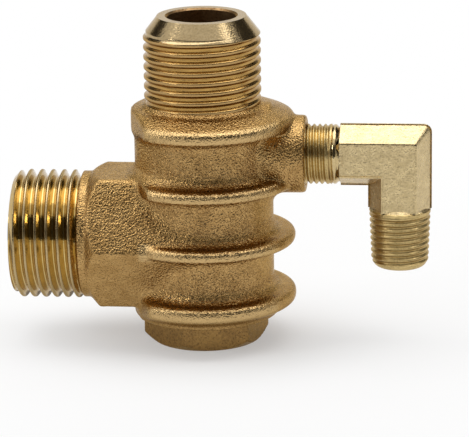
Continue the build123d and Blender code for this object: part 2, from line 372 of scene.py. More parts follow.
@dataclass(frozen=True)
class Rubber:
    """A dull black rubber with a faint bloom."""

    name: str
    tone: Colour
    bloom: Colour
    cover: float = 0.6          # share of the bloom's tone where it is thickest
    roughness: float = 0.62
    spread: float = 0.15        # roughness that the bloom adds
    cloud: float = 1.8          # width of the bloom's clouds
    step: Span = (0.4, 0.75)    # noise over which the bloom thickens
    grain: float = 0.25         # width of the moulded grain
    relief: float = 0.01        # depth of that grain

    def material(self) -> bpy.types.Material:
        """Draw the rubber as a material.

        Returns:
            The material, with a cloudy bloom and a fine moulded grain.
        """
        made, graph = new_material(self.name)
        clouds = graph.noise(self.cloud).step(*self.step)
        inputs = {
            "Base Color": graph.mix(clouds * self.cover, self.tone, self.bloom),
            "Roughness": self.roughness + self.spread * clouds,
            "Normal": graph.bump(graph.noise(self.grain) * self.relief),
        }
        graph.output(graph.node("ShaderNodeBsdfPrincipled", {}, inputs))
        return made


# Meshes from arrays

TURN_ROWS = 22                  # rows of a thread's grid in one turn
BAR_COLUMNS = 96                # points round a bar that cuts
MERGE = 1e-7                    # metres within which points are one
CRISP = 35.0                    # degrees beyond which an edge stays crisp


def grid_faces(rows: int, columns: int, close_rows: bool) -> np.ndarray:
    """Four-cornered faces of a grid that is closed across its columns.

    Args:
        rows: number of rows.
        columns: number of points in a row.
        close_rows: whether the last row joins the first.

    Returns:
        Faces as an array of four point numbers each.
    """
    last = rows if close_rows else rows - 1
    row, column = np.meshgrid(np.arange(last), np.arange(columns), indexing="ij")
    after = (row + 1) % rows
    beside = (column + 1) % columns
    corners = [(row, column), (row, beside), (after, beside), (after, column)]
    return np.stack([at * columns + across for at, across in corners], axis=-1).reshape(-1, 4)


def merge_doubles(mesh: bpy.types.Mesh, distance: float) -> None:
    """Make one of a mesh's points that lie together, and turn its faces outwards.

    Args:
        mesh: the mesh to work on.
        distance: metres within which points lie together.
    """
    work = bmesh.new()
    work.from_mesh(mesh)
    bmesh.ops.remove_doubles(work, verts=work.verts, dist=distance)
    bmesh.ops.recalc_face_normals(work, faces=work.faces)
    work.to_mesh(mesh)
    work.free()


def mesh_from(name: str, points: np.ndarray, faces: Sequence[Sequence[int]]) -> bpy.types.Object:
    """A linked object from points in millimetres.

    Args:
        name: the object's name.
        points: places, one row each.
        faces: point numbers of each face.

    Returns:
        The object, doubles merged and faces turned outwards.
    """
    mesh = bpy.data.meshes.new(name)
    mesh.from_pydata(points.reshape(-1, 3) * MM, [], faces)
    merge_doubles(mesh, MERGE)
    made = bpy.data.objects.new(name, mesh)
    bpy.context.scene.collection.objects.link(made)
    return made


def round_angles(count: int) -> np.ndarray:
    """Angles at even shares of a full turn."""
    return np.linspace(0.0, FULL_TURN, count, endpoint=False)


def about(
    axis: Axis, start: Place, along: np.ndarray, radius: np.ndarray, angle: np.ndarray
) -> np.ndarray:
    """Places round an axis: each lies some way along it, and a radius from it at an angle.

    Args:
        axis: the way the axis points.
        start: where it starts.
        along: distance along the axis, by row and column.
        radius: distance from the axis, by row and column.
        angle: angle round the axis, by column.

    Returns:
        The places, by row and column.
    """
    forward, across, other = (np.array(part, float) for part in axis.value)
    return (
        np.array(start)
        + along[..., None] * forward
        + (radius * np.cos(angle))[..., None] * across
        + (radius * np.sin(angle))[..., None] * other
    )


def threaded(
    name: str, thread: "Thread", span: Span, rings: Sequence[Span],
    axis: Axis, start: Place, limit: Callable[[np.ndarray, np.ndarray], np.ndarray], columns: int,
) -> bpy.types.Object:
    """A closed ring with a thread on it, whose rows climb with the thread.

    Point (i, j) lies i rows and j shares of a pitch up the span, so each row follows the thread's lead,
    and a full turn meets the row one pitch higher. Points beyond the span rest on its end circles. Plain
    circles close the ring; each is repeated so that it, too, meets itself after a turn.

    Args:
        name: the object's name.
        thread: the thread.
        span: first and last distance along the axis.
        rings: distance and radius of the plain circles, from the span's end back to its start.
        axis: the way the ring points.
        start: where the axis starts.
        limit: bounds the thread's radius, from the distance along the axis and that radius.
        columns: points round the axis.

    Returns:
        The ring as an object.
    """
    share = np.arange(columns) / columns
    count = int(np.ceil((span[1] - span[0]) / thread.pitch * TURN_ROWS)) + TURN_ROWS + 2
    along = span[0] - thread.pitch + thread.pitch * (np.arange(count)[:, None] / TURN_ROWS + share)
    along = np.clip(along, *span)
    radius = limit(along, thread.radius(along, share))
    plain = np.repeat(np.array(rings), TURN_ROWS + 1, axis=0)
    along = np.concatenate([along, np.repeat(plain[:, :1], columns, axis=1)])
    radius = np.concatenate([radius, np.repeat(plain[:, 1:], columns, axis=1)])
    points = about(axis, start, along, radius, FULL_TURN * share)
    rows = len(points)
    faces = grid_faces(rows, columns, close_rows=True).reshape(rows, columns, 4)
    seam = faces[:, -1]
    seam[:, 1:3] = (seam[:, 1:3] + TURN_ROWS * columns) % (rows * columns)
    return mesh_from(name, points, faces.reshape(-1, 4).tolist())


def capped_bar(name: str, points: np.ndarray) -> bpy.types.Object:
    """A bar whose rows are closed sections, with a flat face over each end.

    Args:
        name: the object's name.
        points: places, by row along the bar and column round the section.

    Returns:
        The bar as an object.
    """
    rows, columns = points.shape[:2]
    faces = grid_faces(rows, columns, close_rows=False).tolist()
    faces.append(list(range(columns)))
    faces.append(list(range((rows - 1) * columns, rows * columns)))
    return mesh_from(name, points, faces)


def round_bar(name: str, radius: float, length: float, axis: Axis, start: Place) -> bpy.types.Object:
    """A plain round bar to cut with, which runs along an axis from the middle of its first end."""
    along = np.array([[0.0], [length]])
    return capped_bar(name, about(axis, start, along, radius + 0.0 * along, round_angles(BAR_COLUMNS)))


def rounded_section(corners: np.ndarray, radius: float, steps: int = 5) -> np.ndarray:
    """A convex section with its corners rounded by arcs.

    Each corner becomes an arc about the point that lies one radius inside both of its sides.

    Args:
        corners: the corners in order round the section.
        radius: radius of the rounding.
        steps: points in each arc.

    Returns:
        The rounded section's points.
    """
    before = np.roll(corners, 1, axis=0) - corners
    after = np.roll(corners, -1, axis=0) - corners
    before /= np.linalg.norm(before, axis=1, keepdims=True)
    after /= np.linalg.norm(after, axis=1, keepdims=True)
    half = np.arccos(np.clip((before * after).sum(1), -1, 1)) / 2
    inward = before + after
    inward /= np.linalg.norm(inward, axis=1, keepdims=True)
    centre = corners + inward * (radius / np.sin(half))[:, None]
    sweep = (np.pi / 2 - half)[:, None] * np.linspace(-1, 1, steps)
    side = np.stack([-inward[:, 1], inward[:, 0]], axis=1)
    turn = np.sign((before * side).sum(1))[:, None] * sweep
    arc = -np.cos(turn)[..., None] * inward[:, None] + np.sin(turn)[..., None] * side[:, None]
    return (centre[:, None] + radius * arc).reshape(-1, 2)


def work_in(made: bpy.types.Object) -> None:
    """Replace an object's mesh by the result of its modifiers."""
    graph = bpy.context.evaluated_depsgraph_get()
    mesh = bpy.data.meshes.new_from_object(made.evaluated_get(graph))
    made.modifiers.clear()
    made.data = mesh


def join(made: bpy.types.Object, other: bpy.types.Object, operation: str) -> None:
    """Unite an object with another, or cut the other from it, and drop the other.

    Args:
        made: the object that stays.
        other: the object that is used up.
        operation: UNION or DIFFERENCE.
    """
    cut = made.modifiers.new(operation, "BOOLEAN")
    cut.operation = operation
    cut.solver = "MANIFOLD"
    cut.object = other
    work_in(made)
    bpy.data.objects.remove(other)


def places_of(parts: Any, key: str) -> np.ndarray:
    """The places of a mesh's points or faces in millimetres, one row each."""
    flat = np.empty(len(parts) * 3)
    parts.foreach_get(key, flat)
    return flat.reshape(-1, 3) / MM


def relax(mesh: bpy.types.Mesh, share: np.ndarray, rounds: int) -> None:
    """Soften a mesh: each round moves a point by its share towards the mean of its neighbours.

    Args:
        mesh: the mesh to soften.
        share: how far each point moves, between 0 and 1.
        rounds: number of rounds.
    """
    points = places_of(mesh.vertices, "co")
    size = len(points)
    ends = np.empty(len(mesh.edges) * 2, dtype=np.int64)
    mesh.edges.foreach_get("vertices", ends)
    near, far = ends.reshape(-1, 2).T
    count = np.bincount(ends, minlength=size)[:, None]
    for _ in range(rounds):
        sums = [
            np.bincount(near, points[far, axis], size) + np.bincount(far, points[near, axis], size)
            for axis in range(3)
        ]
        points += share[:, None] * (np.stack(sums, axis=1) / count - points)
    mesh.vertices.foreach_set("co", (points * MM).ravel())
    mesh.update()


def shade_smooth(made: bpy.types.Object, angle: float = CRISP) -> None:
    """Shade an object smooth, with edges sharper than an angle in degrees kept crisp."""
    mesh = made.data
    mesh.polygons.foreach_set("use_smooth", np.ones(len(mesh.polygons), dtype=bool))
    mesh.set_sharp_from_angle(angle=float(np.radians(angle)))


def dress(made: bpy.types.Object, *materials: bpy.types.Material) -> None:
    """Give an object its materials, in the order of their numbers."""
    made.data.materials.clear()
    for material in materials:
        made.data.materials.append(material)


@dataclass(frozen=True)
class Thread:
    """A screw thread: its size, form and run-out."""

    major: float                # crest radius
    pitch: float
    depth: float
    form: ThreadForm
    root: float = 0.0           # distance along the axis at which its run-out ends
    fade: float = 1.0           # length of that run-out, in turns
    lead: float = 0.0           # where round the axis it starts, in turns
    taper: float = 0.0          # loss of radius for each millimetre along the axis

    def radius(self, along: np.ndarray, share: np.ndarray) -> np.ndarray:
        """The thread's radius at places on it.

        The phase is the distance along the axis in turns, less the share of a turn round it. A triangle
        wave of the phase is eased between its flats, which gives the height from root to crest, and the
        groove fades out towards the root.

        Args:
            along: distance along the axis.
            share: share of a turn round the axis.

        Returns:
            The radius at each place.
        """
        phase = (along / self.pitch - share + self.lead) % 1.0
        wave = 1.0 - np.abs(2.0 * phase - 1.0)
        crest, valley = self.form.value
        height = np.clip((wave - valley) / (1.0 - crest - valley), 0.0, 1.0)
        height = 0.5 * (height + height * height * (3.0 - 2.0 * height))
        run_out = np.clip((along - self.root) / (self.fade * self.pitch), 0.0, 1.0)
        return self.major - self.taper * (along - self.root) - self.depth * (1.0 - height) * run_out


# Sub-assemblies


@dataclass
class ForgedBody:
    """The ribbed forging with its two threaded spigots."""

    forged: Metal
    tank_turned: Metal
    inlet_turned: Metal
    nose: Metal
    bore: Metal
    tank_axis: float = 17.0
    collar: float = 19.4        # valve axis to the end of the collar behind the tank thread
    collar_r: float = 10.3
    collar_left: float = 0.6    # length of the collar that the thread's first turn leaves
    tank_length: float = 11.6
    tank_bore: float = 6.45
    tank_chamfer: float = 0.9
    inlet_base: float = 39.5
    inlet_top: float = 53.6
    inlet_rim: float = 7.2
    nose_length: float = 2.9
    inlet_bore: float = 5.55
    bore_edge: float = 0.3
    sink: float = 0.9           # spigots inside the forging
    proud: float = 0.02         # spigots over the collar, so that the two unite
    chamber_r: float = 8.9
    roof: float = 2.0           # forging over the chamber
    seam: float = 0.05          # of the inlet's finish on the forging
    bore_seam: float = 0.2      # of the bores' finish past their walls
    columns: int = 128
    voxel: float = 0.26
    weld: float = 1e-6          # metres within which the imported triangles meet
    softness: int = 6           # rounds of softening
    soft: float = 0.5           # share of a round's softening that the forging takes
    soft_bore: float = 0.25     # the same inside its bores
    soft_end: float = 0.12      # the same on the hexagon's turned end
    crisp: float = 15.8         # valve axis to that turned end
    blend: int = 60             # rounds of softening where the hexagon meets the wall
    blend_reach: float = 1.6
    wall: float = 11.2
    hexagon: float = 10.7       # half of the hexagon across its flats
    faces_kept: float = 0.34
    tank_thread: Thread = Thread(
        major=10.4775, pitch=1.814, depth=1.1, form=ThreadForm.ROUNDED, fade=0.4, lead=0.16
    )
    inlet_thread: Thread = Thread(
        major=9.45, pitch=1.5875, depth=0.44, form=ThreadForm.FLATTENED, root=-0.4, fade=0.3, lead=0.3
    )

    def tank_spigot(self) -> bpy.types.Object:
        """The tank thread: a plain collar, the thread, its chamfered end and back through the bore.

        Returns:
            The spigot as a closed ring.
        """
        end = self.tank_length
        tip = self.tank_thread.major + end - self.tank_chamfer

        def limit(along: np.ndarray, radius: np.ndarray) -> np.ndarray:
            """Hold the thread under the collar at one end and the chamfer at the other."""
            collar = np.where(along < self.collar_left, self.collar_r + self.proud, radius)
            return np.minimum(np.minimum(radius, collar), tip - along)

        rings = [(end, self.tank_bore), (-self.sink, self.tank_bore)]
        return threaded(
            "tank_spigot", self.tank_thread, (-self.sink, end), rings, Axis.LEFT,
            (-self.collar, 0.0, self.tank_axis), limit, self.columns,
        )

    def inlet_spigot(self) -> bpy.types.Object:
        """The inlet thread and its cone nose, with the bore inside.

        Returns:
            The spigot as a closed ring.
        """
        top = self.inlet_top - self.inlet_base
        slope = (self.inlet_thread.major - self.inlet_rim) / self.nose_length

        def limit(along: np.ndarray, radius: np.ndarray) -> np.ndarray:
            """Hold the thread under the nose's cone, which its groove runs out into."""
            return np.minimum(radius, self.inlet_rim + slope * (top - along))

        rings = [
            (top, self.inlet_bore + self.bore_edge),
            (top - self.bore_edge, self.inlet_bore), (-self.sink, self.inlet_bore),
        ]
        return threaded(
            "inlet_spigot", self.inlet_thread, (-self.sink, top), rings, Axis.UP,
            (0.0, 0.0, self.inlet_base), limit, self.columns,
        )

    def softened_forging(self) -> bpy.types.Object:
        """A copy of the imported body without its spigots, with forged edges and corners softened.

        Returns:
            The forging as one closed mesh.
        """
        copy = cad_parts["valve_body"].copy()
        copy.data = copy.data.copy()
        copy.name = "forged_body"
        copy.parent = None
        bpy.context.scene.collection.objects.link(copy)
        merge_doubles(copy.data, self.weld)
        spigots = [
            (self.tank_thread, Axis.LEFT, (-self.collar, 0.0, self.tank_axis)),
            (self.inlet_thread, Axis.UP, (0.0, 0.0, self.inlet_base)),
        ]
        for thread, axis, start in spigots:
            join(copy, round_bar("cut", 2 * thread.major, 2 * self.collar, axis, start), "DIFFERENCE")
        remesh = copy.modifiers.new("cells", "REMESH")
        remesh.mode = "VOXEL"
        remesh.voxel_size = self.voxel * MM
        work_in(copy)
        place = places_of(copy.data.vertices, "co")
        inside = np.hypot(place[:, 0], place[:, 1]) < self.inlet_thread.major
        crisp = place[:, 0] < -self.crisp
        shares = np.select([crisp, inside], [self.soft_end, self.soft_bore], self.soft)
        relax(copy.data, shares, self.softness)
        place = places_of(copy.data.vertices, "co")
        relax(copy.data, self.soft * self.near_hexagon_root(place), self.blend)
        thin = copy.modifiers.new("thin", "DECIMATE")
        thin.ratio = self.faces_kept
        work_in(copy)
        return copy

    def near_hexagon_root(self, place: np.ndarray) -> np.ndarray:
        """How near each point is to the corner between the hexagon's flats and the round wall.

        A point's share is 1 within half of the blend's reach of both surfaces, and falls to 0 at its end.

        Args:
            place: points of the forging.

        Returns:
            A share between 0 and 1 for each point.
        """
        x, y, z = place.T
        angle = np.arctan2(y, z - self.tank_axis)
        facet = (angle + np.pi / 6) % (np.pi / 3) - np.pi / 6
        from_flat = np.abs(np.hypot(y, z - self.tank_axis) * np.cos(facet) - self.hexagon)
        from_wall = np.abs(np.hypot(x, y) - self.wall)
        share = 1.0 - np.hypot(from_flat, from_wall) / self.blend_reach
        return np.clip(2.0 * share, 0.0, 1.0) * (x < 0.0)

    def faces_by_finish(self, made: bpy.types.Object) -> np.ndarray:
        """The finish of each face from its middle: 0 forged, 1 and 2 the threads, 3 the nose, 4 bored.

        Args:
            made: the whole body.

        Returns:
            One slot number for each face.
        """
        x, y, z = places_of(made.data.polygons, "center").T
        from_axis = np.hypot(x, y)
        from_tank = np.hypot(y, z - self.tank_axis)
        by_tank = x < -self.collar - self.collar_left
        by_inlet = (z > self.inlet_base - self.seam) & (from_axis < self.inlet_thread.major + self.proud)
        on_nose = by_inlet & (z > self.inlet_top - self.nose_length)
        bored = (from_axis < self.inlet_bore + self.bore_seam) & (z > self.tank_axis)
        bored |= (from_axis < self.chamber_r) & (z < self.inlet_base - self.roof)
        bored |= (from_tank < self.tank_bore + self.bore_seam) & (x < 0)
        return np.select([bored, on_nose, by_inlet, by_tank], [4, 3, 2, 1], 0).astype(np.int32)

    def build(self) -> bpy.types.Object:
        """Build and dress the body.

        Returns:
            The body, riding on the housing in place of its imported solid.
        """
        made = self.softened_forging()
        join(made, self.tank_spigot(), "UNION")
        join(made, self.inlet_spigot(), "UNION")
        finishes = (self.forged, self.tank_turned, self.inlet_turned, self.nose, self.bore)
        dress(made, *(finish.material() for finish in finishes))
        made.data.polygons.foreach_set("material_index", self.faces_by_finish(made))
        shade_smooth(made)
        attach(made, "housing")
        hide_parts("valve_body")
        return made


@dataclass
class ScrewedElbow:
    """The pilot elbow: ridged arms mitred at the corner, a screwed stub and a threaded leg."""

    brass: Metal
    threaded: Metal
    turned: Metal
    axis_x: float = 31.75
    axis_z: float = 30.9
    apex: float = 5.2
    flat: float = 2.85
    depth: float = 4.4
    mitre: float = 1.3          # radius of the mitre's rounding at the ridge
    mitre_flat: float = 0.35    # share of that radius at the flats
    mitre_inner: float = 0.02   # share of that radius on the inner side
    mitre_rows: int = 7
    edge: float = 0.35
    shoulder_x: float = 22.2
    collar_x: float = 20.9
    collar_r: float = 4.65
    stub_x: float = 10.04
    leg_drop: float = 8.8
    leg_end: float = 18.45
    nose: float = 3.2
    nose_r: float = 3.35
    bore: float = 2.5
    undrilled: float = 0.6      # wall left in the bores until they are drilled
    past: float = 2.0           # drilling beyond the ends
    lead_in: float = 1.2        # slope of a thread's start
    ledge: float = 0.2          # drop from the flats to the leg's thread
    mouth: float = 0.5          # flare of the leg's bore
    bulge: float = 0.2          # swelling of the stub's collar
    bulge_waves: float = 1.5    # half waves of that swelling along the collar
    tuck: float = 0.5           # loss of radius where that collar meets the arm
    swell_rows: int = 13
    stub_sink: float = 0.6      # stub inside the arm
    stub_slim: float = 0.3      # loss of its radius there
    leg_sink: float = 1.5       # leg inside the arm
    overlap: float = 0.05
    seam: float = 0.02          # of the leg's finish under the flats
    columns: int = 96
    stub_thread: Thread = Thread(major=4.864, pitch=0.907, depth=0.36, form=ThreadForm.ROUNDED)
    leg_thread: Thread = Thread(
        major=4.975, pitch=1.0, depth=0.36, form=ThreadForm.ROUNDED, root=0.3, taper=0.04
    )

    def arms(self) -> bpy.types.Object:
        """The arms: a ridged section carried along the arm, round the corner and down the leg.

        A section point on the outer side of the bend goes round it by a quarter circle, widest at the
        ridge, and one on the inner side turns sharply.

        Returns:
            The arms as a closed bar.
        """
        corners = np.array(
            [(self.apex, 0), (self.flat, self.depth), (-self.flat, self.depth),
             (-self.apex, 0), (-self.flat, -self.depth), (self.flat, -self.depth)], float
        )
        out, side = rounded_section(corners, self.edge).T
        outer = (out - self.flat) / (self.apex - self.flat) + self.mitre_flat
        facet = self.mitre * np.clip(outer, self.mitre_inner, 1.0)
        turn = np.linspace(0.0, np.pi / 2, self.mitre_rows)[:, None]
        bend_x = self.axis_x + out - facet * (1.0 - np.sin(turn))
        bend_z = self.axis_z + out - facet * (1.0 - np.cos(turn))
        first = np.array([[self.shoulder_x]]) + 0 * out
        last = np.array([[self.axis_z - self.leg_drop]]) + 0 * out
        x = np.concatenate([first, bend_x, bend_x[-1:]])
        z = np.concatenate([bend_z[:1], bend_z, last])
        y = np.broadcast_to(side, x.shape)
        return capped_bar("elbow_arms", np.stack([x, y, z], axis=-1))

    def stub(self) -> bpy.types.Object:
        """The stub: a thread from the shoulder into the boss, and the bulged collar that meets the arm.

        The collar's radius is its own plus a sine wave, less a cube of the way along that tucks it in.

        Returns:
            The stub as a closed ring about its passage.
        """
        length = self.collar_x - self.stub_x
        reach = self.shoulder_x - self.collar_x
        core = self.stub_thread.major - self.stub_thread.depth

        def limit(along: np.ndarray, radius: np.ndarray) -> np.ndarray:
            """Turn the free end down to the thread's root."""
            return np.minimum(radius, core + self.lead_in * (length - along))

        swell = np.linspace(1.0, 0.0, self.swell_rows)
        collar = self.collar_r + self.bulge * np.sin(np.pi * np.minimum(self.bulge_waves * swell, 1.0))
        collar -= self.tuck * swell ** 3
        inside = self.bore - self.undrilled
        root = -reach - self.stub_sink
        rings = [(length, inside), (root, inside), (root, self.collar_r - self.stub_slim)]
        rings += list(zip(-self.overlap - (reach + 2.0 * self.overlap) * swell, collar))
        return threaded(
            "elbow_stub", self.stub_thread, (0.0, length), rings, Axis.LEFT,
            (self.collar_x, 0.0, self.axis_z), limit, self.columns,
        )

    def leg(self) -> bpy.types.Object:
        """The leg: a thread below the flats and a rounded end.

        Returns:
            The leg as a closed ring about its passage.
        """
        length = self.leg_end - self.leg_drop
        swing = self.leg_thread.major - self.nose_r

        def limit(along: np.ndarray, radius: np.ndarray) -> np.ndarray:
            """Slope the ledge under the flats, and round the end by a quarter of an ellipse."""
            end = np.clip((along - length + self.nose) / self.nose, 0.0, 1.0)
            rounded = self.nose_r + swing * np.sqrt(1.0 - end ** 2)
            ledge = self.leg_thread.major - self.ledge + self.lead_in * along
            return np.minimum(radius, np.minimum(ledge, rounded))

        inside = self.bore - self.undrilled
        rings = [
            (length, self.bore + self.mouth), (length, inside),
            (-self.leg_sink, inside), (-self.leg_sink, self.flat),
        ]
        return threaded(
            "elbow_leg", self.leg_thread, (0.0, length), rings, Axis.DOWN,
            (self.axis_x, 0.0, self.axis_z - self.leg_drop), limit, self.columns,
        )

    def build(self) -> bpy.types.Object:
        """Build and dress the elbow.

        Returns:
            The elbow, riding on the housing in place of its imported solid.
        """
        made = self.arms()
        made.name = "screwed_elbow"
        join(made, self.stub(), "UNION")
        join(made, self.leg(), "UNION")
        free_end = self.stub_x - self.past
        drills = [
            (self.axis_x - self.stub_x + self.past, Axis.RIGHT, (free_end, 0.0, self.axis_z)),
            (self.leg_end + self.past, Axis.DOWN, (self.axis_x, 0.0, self.axis_z)),
        ]
        for reach, axis, start in drills:
            join(made, round_bar("cut", self.bore, reach, axis, start), "DIFFERENCE")
        dress(made, self.brass.material(), self.threaded.material(), self.turned.material())
        x, _, z = places_of(made.data.polygons, "center").T
        on_thread = (x < self.collar_x) | (z < self.axis_z - self.leg_drop - self.seam)
        slots = np.select([on_thread, x < self.shoulder_x - self.overlap], [1, 2], 0)
        made.data.polygons.foreach_set("material_index", slots.astype(np.int32))
        shade_smooth(made)
        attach(made, "housing")
        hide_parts("pilot_elbow")
        return made


@dataclass
class BottomPlug:
    """The hexagon plug with its pocket and guide sleeve."""

    brass: Metal
    across_flats: float = 18.0
    head: float = 4.3
    turn: float = 15.5
    chamfer: float = 40.0
    corner_round: float = 0.1
    corner_sharp: float = 30.0  # how sharply the corners' easing sets in
    rest_inset: float = 0.15    # of the resting face inside the flats
    head_rows: int = 24
    groove_r: float = 7.25
    groove_top: float = 5.9
    shank_r: float = 8.0
    top: float = 10.2
    pocket_r: float = 5.7
    pocket_floor: float = 4.7
    sleeve_r: float = 3.2
    sleeve_top: float = 13.0
    guide_r: float = 2.45
    columns: int = 240

    def head_radius(self, height: np.ndarray) -> np.ndarray:
        """Radius of the head: a hexagon with eased corners, cut by a cone at its resting end.

        Args:
            height: heights of the rows.

        Returns:
            Radius by row and column.
        """
        angle = round_angles(self.columns) - np.radians(self.turn)
        flat = self.across_flats / 2
        facet = angle % (np.pi / 3) - np.pi / 6
        hexagon = flat / np.cos(facet)
        limit = flat / np.cos(np.pi / 6) - self.corner_round
        sharp = self.corner_sharp
        eased = -np.logaddexp(-sharp * hexagon, -sharp * limit) / sharp
        cone = flat - self.rest_inset + height / np.tan(np.radians(self.chamfer))
        return np.minimum(eased[None], cone[:, None])

    def build(self) -> bpy.types.Object:
        """Build and dress the plug: the head's rows, then circles up the shank and down into the pocket.

        Returns:
            The plug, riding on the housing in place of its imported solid.
        """
        height = np.linspace(0.0, self.head, self.head_rows)
        outer = self.head_radius(height)
        shank = np.array([
            (self.groove_r, self.head), (self.groove_r, self.groove_top), (self.shank_r, self.groove_top),
            (self.shank_r, self.top), (self.pocket_r, self.top), (self.pocket_r, self.pocket_floor),
            (self.sleeve_r, self.pocket_floor), (self.sleeve_r, self.sleeve_top),
            (self.guide_r, self.sleeve_top), (self.guide_r, self.pocket_floor),
            (0.0, self.pocket_floor), (0.0, 0.0),
        ])
        radius = np.concatenate([outer, np.repeat(shank[:, :1], self.columns, axis=1)])
        along = np.concatenate([height, shank[:, 1]])[:, None]
        points = about(Axis.UP, (0.0, 0.0, 0.0), along, radius, round_angles(self.columns))
        made = mesh_from("hexagon_plug", points, grid_faces(*radius.shape, close_rows=True).tolist())
        dress(made, self.brass.material())
        shade_smooth(made)
        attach(made, "housing")
        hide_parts("bottom_plug")
        return made


@dataclass
class WoundSpring:
    """The return spring: a wire wound with closed coils at both ends."""

    steel: Metal
    coil_r: float = 4.45
    wire_r: float = 0.35
    low: float = 4.75
    high: float = 20.55
    turns: float = 7.0
    closed: float = 1.0         # turns lying closed at each end
    slack: float = 1.02         # of those turns, in widths of the wire
    turn_rows: int = 40
    columns: int = 14
    crisp: float = 50.0         # degrees beyond which an edge stays crisp
    keep: float = 0.799         # share of its length that is left when the poppet is open

    def build(self) -> bpy.types.Object:
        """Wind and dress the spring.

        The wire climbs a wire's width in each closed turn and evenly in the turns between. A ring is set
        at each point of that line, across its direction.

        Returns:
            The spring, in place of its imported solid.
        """
        share = np.linspace(0.0, self.turns, int(self.turns * self.turn_rows) + 1)
        wire = 2.0 * self.wire_r * self.slack
        bottom = self.low + self.wire_r
        top = self.high - self.wire_r
        stops = [0.0, self.closed, self.turns - self.closed, self.turns]
        levels = [bottom, bottom + wire * self.closed, top - wire * self.closed, top]
        height = np.interp(share, stops, levels)
        angle = FULL_TURN * share
        line = np.stack([self.coil_r * np.cos(angle), self.coil_r * np.sin(angle), height], axis=-1)
        along = np.gradient(line, axis=0)
        along /= np.linalg.norm(along, axis=1, keepdims=True)
        outward = np.stack([np.cos(angle), np.sin(angle), 0 * angle], axis=-1)
        upward = np.cross(along, outward)
        round_wire = round_angles(self.columns)[:, None]
        ring = np.cos(round_wire) * outward[:, None] + np.sin(round_wire) * upward[:, None]
        made = capped_bar("wound_spring", line[:, None] + self.wire_r * ring)
        dress(made, self.steel.material())
        shade_smooth(made, self.crisp)
        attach(made, "housing")
        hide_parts("return_spring")
        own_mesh(made)
        return made


# Studio


